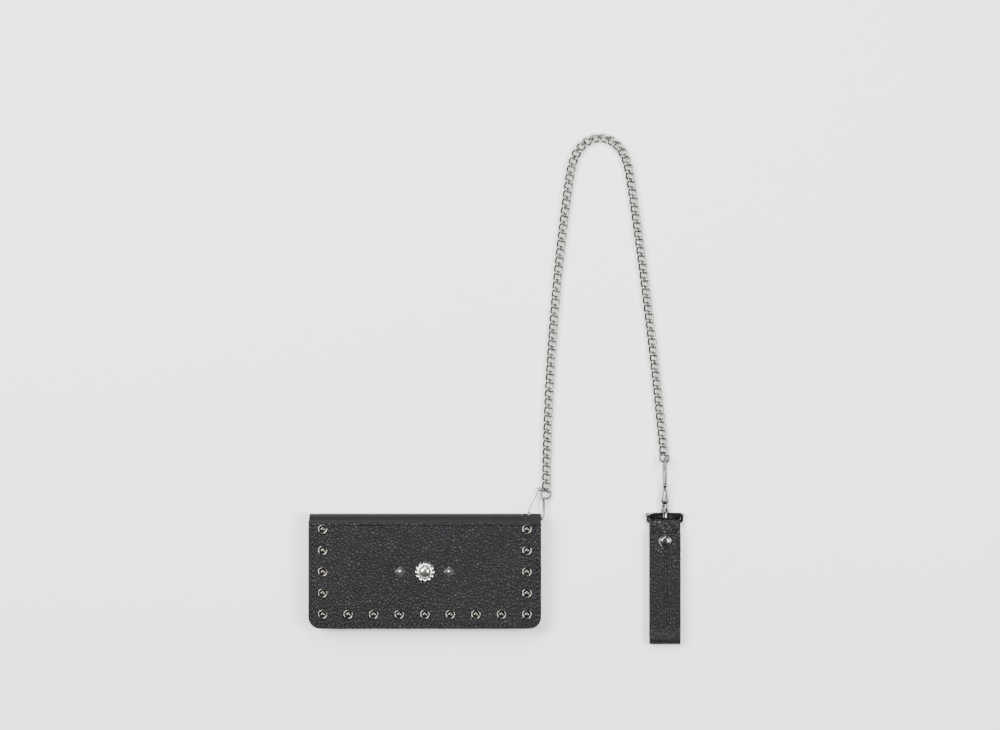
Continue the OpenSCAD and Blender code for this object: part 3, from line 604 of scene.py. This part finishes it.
def stitched_edge(node, body):
    low, high = node_box(node)
    corner_y = low.y + EDGE_CORNER
    obj = new_plane(node + "_strip", low.x, low.x + EDGE_WIDE, corner_y, high.y, low.z)
    spin_edges(obj, lambda e: abs(middle(e).y - corner_y) < 0.01, 8, 90,
               (low.x + EDGE_CORNER, corner_y, low.z), (0, 0, 1))
    pick(obj, "EDGE", lambda e: abs(middle(e).x - low.x - EDGE_CORNER) < 0.01)
    extrude(high.x - low.x - 2 * EDGE_CORNER, 0, 0)
    done(obj)
    spin_edges(obj, lambda e: abs(middle(e).x - high.x + EDGE_CORNER) < 0.01, 8, 90,
               (high.x - EDGE_CORNER, corner_y, low.z), (0, 0, 1))
    pick(obj, "EDGE", lambda e: abs(middle(e).y - corner_y) < 0.01 and middle(e).x > 0)
    extrude(0, high.y - corner_y, 0)
    bpy.ops.mesh.select_all(action="SELECT")
    extrude(0, 0, high.z - low.z)
    done(obj)
    outwards(obj)
    soften(obj, 0.4, 2)
    return finish_piece(obj, node + "_leather", smooth_calf, body, (node,))


stitched_edge("back_pocket_edge", "back_leaf")
stitched_edge("front_pocket_edge", "front_leaf")

# %% [markdown]
# ## Lining of the fold
# A strip of split leather follows the inside of the fold. One edge is spun all the way round.

# %% Lining of the fold
low, high = node_box("fold_lining")
lining_r = FOLD_R - LEATHER
start_turn = FOLD_TURN - 4
y = FOLD_C[0] + lining_r * math.cos(math.radians(start_turn))
z = FOLD_C[1] - lining_r * math.sin(math.radians(start_turn))
strip = new_plane("fold_strip", low.x, high.x, y - 1, y, z)
pick(strip, "VERT", lambda v: v.co.y / MM < y - 0.5)
bpy.ops.mesh.delete(type="VERT")
done(strip)
spin_edges(strip, lambda e: True, 28, 2 * start_turn, (0, FOLD_C[0], FOLD_C[1]), (1, 0, 0))
outwards(strip)
if [f for f in strip.data.polygons if f.center.y > (FOLD_C[0] + lining_r - 0.5) * MM][0].normal.y < 0:
    flip(strip)
modify(strip, "SOLIDIFY", thickness=0.58 * MM, offset=-1)
finish_piece(strip, "fold_lining_leather", split_leather, "fold", ("fold_lining",))

# %% [markdown]
# ## Edge seams
# A line of dark thread runs 3.2 mm inside the cover's edge. A stitch is a small
# flattened bead that sinks into the hide at both ends. It is modelled once and copied every 4 mm
# along the edge, so that each one turns with the corner.

# %% Edge seams
def walk(points, pitch):
    """places and headings every pitch mm along a line of points"""
    found, carried = [], pitch / 2
    for a, b in zip(points, points[1:]):
        length = math.dist(a, b)
        while carried <= length:
            t = carried / length
            found.append((a[0] + (b[0] - a[0]) * t, a[1] + (b[1] - a[1]) * t,
                          math.degrees(math.atan2(b[1] - a[1], b[0] - a[0]))))
            carried += pitch
        carried -= length
    return found


def bead(name, length, width, tall):
    nothing()
    bpy.ops.mesh.primitive_uv_sphere_add(segments=8, ring_count=5, radius=0.5)
    obj = bpy.context.object
    obj.name = name
    obj.scale = (length * MM, width * MM, tall * MM)
    settle(obj)
    # the ends are drawn down into the hide
    pick(obj, "VERT", lambda v: abs(v.co.x) > 0.3 * length * MM)
    bpy.ops.transform.translate(value=(0, 0, -0.12 * tall * MM))
    return done(obj)


def arc(cx, cy, r, a0, a1, count=8):
    angles = [math.radians(a0 + (a1 - a0) * k / count) for k in range(count + 1)]
    return [(cx + r * math.cos(a), cy + r * math.sin(a)) for a in angles]


def seam(name, points, z, body, pitch=4.0):
    stitch = bead(name, 3.1, 0.8, 0.55)
    places = [at(x, y, z, turn) for x, y, turn in walk(points, pitch)]
    return finish_piece(copies(stitch, places), name, waxed_thread, body, angle=180)


line_x = HALF_W - GROOVE
turn_x, turn_y = HALF_W - CORNER_R, FREE_Y + CORNER_R
SEAM_TOP = 38.5   # the edge seams stop where the fold starts
edge_line = ([(-line_x, SEAM_TOP)] + arc(-turn_x, turn_y, CORNER_R - GROOVE, 180, 270)
             + arc(turn_x, turn_y, CORNER_R - GROOVE, 270, 360) + [(line_x, SEAM_TOP)])
seam("front_edge_thread", edge_line, CLOSED_T - 0.5, "front_leaf")
seam("back_edge_thread", edge_line, 0.5, "back_leaf")

# %% [markdown]
# ## Studs
# Each stud is stamped from sheet: a rolled rim, a groove and a faceted dome. A turned shape
# starts as a disc whose face is extruded and resized from ring to ring. The dome has
# only eight sides, so that it catches the light in facets as the stamped one does.

# %% Studs
def turned(name, rings, sides):
    """a closed turned shape from (radius, height) rings, in mm, from the bottom up"""
    nothing()
    radius, height = rings[0]
    bpy.ops.mesh.primitive_circle_add(vertices=sides, radius=radius * MM, fill_type="NGON",
                                      location=(0, 0, height * MM))
    obj = bpy.context.object
    obj.name = name
    settle(obj)
    pick_all(obj)
    for r, h in rings[1:]:
        extrude(0, 0, h - height)
        bpy.ops.transform.resize(value=(r / radius, r / radius, 1), center_override=(0, 0, h * MM))
        radius, height = r, h
    done(obj)
    return outwards(obj)


def joined(parts):
    only(parts[0])
    for part in parts:
        part.select_set(True)
    bpy.ops.object.join()
    return settle(bpy.context.view_layer.objects.active)


STUD_X, STUD_LOW, STUD_HIGH = 85.5, -36.0, 35.3
STUD_STEP = 2 * STUD_X / 8
stud_places = [(-STUD_X + k * STUD_STEP, STUD_LOW) for k in range(9)]
stud_places += [(side * STUD_X, STUD_LOW + k * (STUD_HIGH - STUD_LOW) / 4) for side in (-1, 1)
                for k in range(1, 5)]
SHANK = [(1.2, -2.9), (1.2, 0.02)]   # the rivet shank under every ornament
rim = turned("rim", SHANK + [(4.0, 0.02), (4.2, 0.35), (4.15, 0.75), (3.9, 1.1), (3.55, 1.2), (3.2, 1.08),
                             (3.0, 0.8), (2.85, 0.45), (2.6, 0.38)], 32)
dome = turned("dome", [(2.62, 0.3), (2.55, 0.65), (2.05, 1.2), (1.3, 1.6), (0.5, 1.72)], 8)
studs = copies(joined([rim, dome]), [at(x, y, CLOSED_T) for x, y in stud_places])
finish_piece(studs, "domed_studs", stud_nickel, "front_leaf", ("studs",), angle=28)

# %% [markdown]
# ## Round ornament and pyramid studs
# The ornament is cast: twelve petals round a beaded ring and a cut dome. A petal is a
# small turned button that is copied round. The studs beside it are four-sided pyramids with a
# stepped foot, made by the same turning with four sides.

# %% Round ornament and pyramid studs
petal = turned("petal", [(1.75, 0.02), (1.8, 0.3), (1.7, 0.85), (1.3, 1.15), (0.7, 1.05), (0.3, 0.8)], 16)
around = [(6.7 * math.cos(math.radians(30 * k)), 6.7 * math.sin(math.radians(30 * k)), 30 * k)
          for k in range(12)]
petals = copies(petal, [at(x, y, 0, turn) for x, y, turn in around])
grain = bead("ring_bead", 0.9, 0.9, 0.9)
beads = copies(grain, [at(5.15 * math.cos(math.radians(15 * k)), 5.15 * math.sin(math.radians(15 * k)), 1.15)
                       for k in range(24)])
plate = turned("plate", SHANK + [(6.8, 0.02), (6.9, 0.5), (6.4, 0.9), (5.7, 1.0), (5.5, 1.1), (4.75, 1.1),
                                 (4.6, 0.75)], 48)
crown = turned("crown", [(4.62, 0.7), (4.45, 1.3), (3.5, 2.05), (2.2, 2.5), (0.9, 2.6)], 12)
ornament = copies(joined([petals, beads, plate, crown]), [at(0, 0, CLOSED_T)])
finish_piece(ornament, "round_ornament", polished_cast, "front_leaf", ("concho",),
             angle=28)

foot = turned("foot", SHANK + [(4.4, 0.02), (4.6, 0.2), (4.5, 0.5), (4.05, 0.55), (3.7, 0.8), (0.6, 1.9),
                               (0.2, 2.0)], 4)
pyramids = copies(foot, [at(side * 20.5, 0, CLOSED_T) for side in (-1, 1)])
finish_piece(pyramids, "pyramid_studs", polished_cast, "front_leaf", ("diamond_studs",),
             angle=20)

# %% [markdown]
# ## Curb chain
# Each link is a loop of round wire whose two ends are rolled opposite ways, which lets the links
# lie flat. The wire is drawn as a closed path along the middle of the wire, given its
# thickness with the curve's bevel, and made a mesh. One link is copied to every place on the
# chain's route: the route leans on a little from link to link, and turns over at the far end.

# %% One link
PITCH, WIRE, LINK_W, PLAY = 7.05, 2.1, 6.2, 0.3
LINK_A = (PITCH + WIRE + PLAY) / 2
ROLL, END_HALF, END_BEND, SIDE_BEND, SIDE_BOW = math.radians(50), 2.8, 1.4, 5.0, 0.2
CHAIN_Z = WIRE / 2 + 0.8 * END_HALF * math.sin(ROLL) + 0.05


def rounded_path(corners, radii, steps):
    """points along a closed path whose corners are arcs"""
    points = []
    for k, corner in enumerate(corners):
        into = (corner - corners[k - 1]).normalized()
        out = (corners[(k + 1) % len(corners)] - corner).normalized()
        turn = into.angle(out)
        cut = radii[k] * math.tan(turn / 2)
        inward = (out - into * out.dot(into)).normalized()
        centre = corner - cut * into + radii[k] * inward
        for s in range(steps[k] + 1):
            a = turn * s / steps[k]
            points.append(centre + radii[k] * (math.sin(a) * into - math.cos(a) * inward))
    return points


def wire(name, points, thick, closed=False, sides=8):
    """round wire along points, in mm"""
    nothing()
    bpy.ops.curve.primitive_nurbs_path_add()
    obj = bpy.context.object
    obj.name = name
    curve = obj.data
    curve.splines.clear()
    spline = curve.splines.new("POLY")
    spline.points.add(len(points) - 1)
    for point, co in zip(spline.points, points):
        point.co = (co[0] * MM, co[1] * MM, co[2] * MM, 1)
    spline.use_cyclic_u = closed
    curve.dimensions = "3D"
    curve.twist_mode = "MINIMUM"
    curve.bevel_depth = thick / 2 * MM
    curve.bevel_resolution = sides // 2 - 2
    curve.use_fill_caps = not closed
    only(obj)
    bpy.ops.object.convert(target="MESH")
    settle(obj)
    return outwards(obj)


ends = [Vector((LINK_A, s * END_HALF * math.cos(ROLL), s * END_HALF * math.sin(ROLL))) for s in (-1, 1)]
side = Vector((0, LINK_W / 2 + SIDE_BOW, 0))
corners = ends + [side] + [Vector((-p.x, -p.y, p.z)) for p in ends] + [-side]
bends = [END_BEND, END_BEND, SIDE_BEND] * 2
link = wire("link", rounded_path(corners, bends, [3, 3, 3] * 2), WIRE - 0.1, closed=True)
print("link faces", len(link.data.polygons), "chain height", round(CHAIN_Z, 2))

# %% [markdown]
# The first link hangs in the hook's eye. Its place comes from the hook, and every next one from the
# link before it.

# %% The chain's route and its twelve runs
HOOK_Y, TIP = 41.6, math.radians(8.7)
EYE = Vector((101.8, 64.65))
start = Vector((EYE.x + 0.3, HOOK_Y + math.cos(TIP) * (EYE.y + 4.3 - HOOK_Y) - (1.7 + WIRE) / 2 - PLAY
                + LINK_A - PITCH / 2))
heading, headings, joints = 89.4, [], [start]
for k in range(84):
    headings.append(heading)
    along = Vector((math.cos(math.radians(heading)), math.sin(math.radians(heading))))
    joints.append(joints[-1] + PITCH * along)
    heading -= (0.2 if k < 43.1 else 0.09)
    if abs(k - 43.1) < 8:
        heading -= 10.1 * (1 + math.cos(math.radians(360 * (k - 43.1) / 16)))
for run in range(12):
    places = []
    for k in range(7 * run, 7 * run + 7):
        mid = (joints[k] + joints[k + 1]) / 2
        places.append(at(mid.x, mid.y, CHAIN_Z, headings[k]))
    own = link.copy()
    own.data = link.data.copy()
    bpy.context.collection.objects.link(own)
    finish_piece(copies(own, places), "curb_links_%02d" % (run + 1), bright_nickel,
                 "chain_%02d_links" % (run + 1), ("chain_%02d" % (run + 1),), angle=80)
bpy.data.objects.remove(link)
print("chain ends at", [round(c, 1) for c in joints[-1]])

# %% [markdown]
# ## Belt strap
# One strip of hide is sewn round the bar, goes down the back, turns at the bottom and comes up in
# front as the flap. An edge is extruded from point to point along the strip's side view.
# The flap with the bottom bend is its own piece, because it unrolls when the snap opens.
# A seam runs down the flap's middle: the sheet is cut along it and pressed in.

# %% Belt strap
STRAP_X, STRAP_W, STRAP_T = 201.97, 26.0, 2.0
WRAP_Y, WRAP_Z, MID = 40.68, 3.45, 2.35
BEND_Y, BEND_Z, BEND_MID = -57.17, 5.25, 4.15


def strip_along(name, path, lines=()):
    """a strip of hide along a Y-Z path in mm, cut lengthwise at the given lines"""
    y, z = path[0]
    half = STRAP_W / 2
    obj = new_plane(name, STRAP_X - half, STRAP_X + half, y, y + 1, z)
    pick(obj, "VERT", lambda v: v.co.y / MM > y + 0.5)
    bpy.ops.mesh.delete(type="VERT")
    pick_all(obj, "EDGE")
    for next_y, next_z in path[1:]:
        extrude(0, next_y - y, next_z - z)
        y, z = next_y, next_z
    done(obj)
    for x in lines:
        cut_at(obj, (STRAP_X + x, 0, 0), (1, 0, 0))
    return outwards(obj)


def straight(y0, y1, z, count):
    return [(y0 + (y1 - y0) * k / count, z) for k in range(count + 1)]


wrap_path = straight(15.98, WRAP_Y, WRAP_Z + MID, 6)
wrap_path += [(WRAP_Y + MID * math.sin(math.radians(a)), WRAP_Z + MID * math.cos(math.radians(a)))
              for a in range(15, 180, 15)]
wrap_path += straight(WRAP_Y, BEND_Y, WRAP_Z - MID, 16)
body_strip = strip_along("strap_back", wrap_path, (-6, 0, 6))
modify(body_strip, "SOLIDIFY", thickness=STRAP_T * MM, offset=0, use_even_offset=True)
soften(body_strip, 0.5, 3)
finish_piece(body_strip, "strap_back_hide", strap_hide, "strap", ("strap_body",))

flap_path = [(BEND_Y - BEND_MID * math.sin(math.radians(a)), BEND_Z - BEND_MID * math.cos(math.radians(a)))
             for a in range(0, 181, 10)]
flap_path += straight(BEND_Y, 31.18, BEND_Z + BEND_MID, 22)[1:]
flap = strip_along("strap_flap", flap_path, (-12, -1.1, -0.45, 0, 0.45, 1.1, 12))
pick(flap, "VERT", lambda v: v.co.y / MM > 31.1 and abs(v.co.x / MM - STRAP_X) > 12.9)
bpy.ops.mesh.bevel(offset=0.9 * MM, segments=4, affect="VERTICES")
done(flap)
modify(flap, "SOLIDIFY", thickness=STRAP_T * MM, offset=0, use_even_offset=True)
flap_top = (BEND_Z + BEND_MID + STRAP_T / 2) * MM
soften(flap, 0.5, 3)
sunk = pick(flap, "VERT", lambda v: v.co.z > flap_top - 0.05 * MM and -52 < v.co.y / MM < 18
            and abs(v.co.x / MM - STRAP_X) < 0.5)
bpy.ops.transform.translate(value=(0, 0, -0.7 * MM))
done(flap)
print("seam vertices", sunk)
finish_piece(flap, "strap_flap_hide", strap_hide, None)
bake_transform(flap)
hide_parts("strap_flap")

centre_line = [(STRAP_X, -50.5), (STRAP_X, 17.0)]
seam("flap_seam_thread", centre_line, flap_top / MM - 0.55, "flap", pitch=3.4)

# %% [markdown]
# ## Snap cap
# The cap is a black nickel dome in a rolled ring. The rest of the snap is inside the strap.

# %% Snap cap
low, high = node_box("snap_cap")
cap_r, cap_z = (high.x - low.x) / 2, flap_top / MM
cap_mid = (low + high) / 2
cap_top = high.z - cap_z
cap = turned("cap", [
    (1.4, low.z - cap_z), (1.4, 0.02),                                            # shank
    (cap_r - 0.2, 0.02), (cap_r, 0.3), (cap_r - 0.05, 0.6), (cap_r - 0.4, 0.85),  # rolled ring
    (cap_r - 0.8, 0.8), (cap_r - 1.05, 0.5), (cap_r - 1.25, 0.55),                # groove
    (cap_r - 1.6, cap_top * 0.62), (cap_r - 2.6, cap_top * 0.86), (cap_r - 4.0, cap_top * 0.98),
    (0.4, cap_top),
], 40)
cap = copies(cap, [at(cap_mid.x, cap_mid.y, cap_z)])
finish_piece(cap, "snap_cap_dome", black_nickel, "flap", ("snap_cap",), angle=40)

# %% [markdown]
# ## Zip
# The zip has two woven tapes, and teeth stamped from wire that sit along their inner
# edges. A tooth is a small block with a narrowed nose, copied every 3 mm and staggered by half a
# step from one side to the other.

# %% Zip tapes
tape_z = node_box("zip_tapes")[0].z
tapes = []
TAPE_ROWS, TAPE_END, TAPE_T = ((6.5, 8.35), (11.65, 13.5)), 84, 0.5
for y0, y1 in TAPE_ROWS:
    tape = new_plane("tape", -TAPE_END, TAPE_END, y0, y1, tape_z)
    pick_all(tape)
    extrude(0, 0, TAPE_T)
    done(tape)
    outwards(tape)
    tapes.append(modify(tape, "BEVEL", width=0.12 * MM, segments=2))
finish_piece(joined(tapes), "zip_tapes_woven", woven_tape, "back_leaf", ("zip_tapes",))

# %% Zip teeth
nothing()
bpy.ops.mesh.primitive_cube_add(size=1)
tooth = bpy.context.object
tooth.scale = (1.2 * MM, 0.96 * MM, 1.0 * MM)
settle(tooth)
pick(tooth, "FACE", lambda f: f.normal.y < -0.9)
bpy.ops.mesh.inset(thickness=0.2 * MM)
bpy.ops.transform.translate(value=(0, -0.12 * MM, 0))
done(tooth)
TEETH, TOOTH_PITCH = 53, 3
TOOTH_X, TOOTH_Y, TOOTH_Z = (-78.8, -77.3), (9.03, 10.97), tape_z + TAPE_T / 2
places = []
for k in range(TEETH):
    places.append(at(TOOTH_X[0] + TOOTH_PITCH * k, TOOTH_Y[0], TOOTH_Z, 180))
    places.append(at(TOOTH_X[1] + TOOTH_PITCH * k, TOOTH_Y[1], TOOTH_Z, 0))
finish_piece(copies(tooth, places), "zip_teeth_row", zip_nickel, "back_leaf", ("zip_teeth",))

# %% [markdown]
# ## Small cast and wire parts
# Hooks, ring, loop, rivets and zip slider have the right shape already, but their faces are
# loose, so light breaks on every facet. A copy of each is merged into one skin,
# its normals are smoothed over the round wire, and it takes the finish of its metal.

# %% Small cast and wire parts
def merged_copy(node, finish, ending="_metal"):
    body = [name for name, members in frame["record"]["behaviour"]["bodies"].items() if node in members][0]
    source = frame["nodes"][node]
    obj = source.copy()
    obj.data = source.data.copy()
    bpy.context.collection.objects.link(obj)
    obj.parent = None
    obj.matrix_world = Matrix.Identity(4)
    pick_all(obj)
    bpy.ops.mesh.remove_doubles(threshold=0.003 * MM)
    done(obj)
    return finish_piece(obj, node + ending, finish, body, (node,), angle=32)


for node_name in ("wallet_hook", "wallet_hook_gate", "strap_ring", "strap_hook", "strap_hook_gate",
                  "strap_loop", "hitch_eyelet"):
    merged_copy(node_name, hook_nickel)
for node_name in ("stud_washers", "ornament_washers", "wallet_hook_rivet", "strap_hook_rivet",
                  "snap_socket", "snap_stud"):
    merged_copy(node_name, tumbled_steel)
for node_name in ("zip_slider", "zip_pull", "zip_stops"):
    merged_copy(node_name, zip_nickel)

# %% [markdown]
# ## Hitch tab
# The tab that holds the eyelet is a doubled strip of smooth calf: a merged copy of its node, with
# the calf finish.

# %% Hitch tab
merged_copy("hitch_tab", tab_calf, "_leather")

# %% [markdown]
# ## Finish
# By now every node has given way to a piece with a finish of its own.

# %% Finish
bpy.context.view_layer.update()
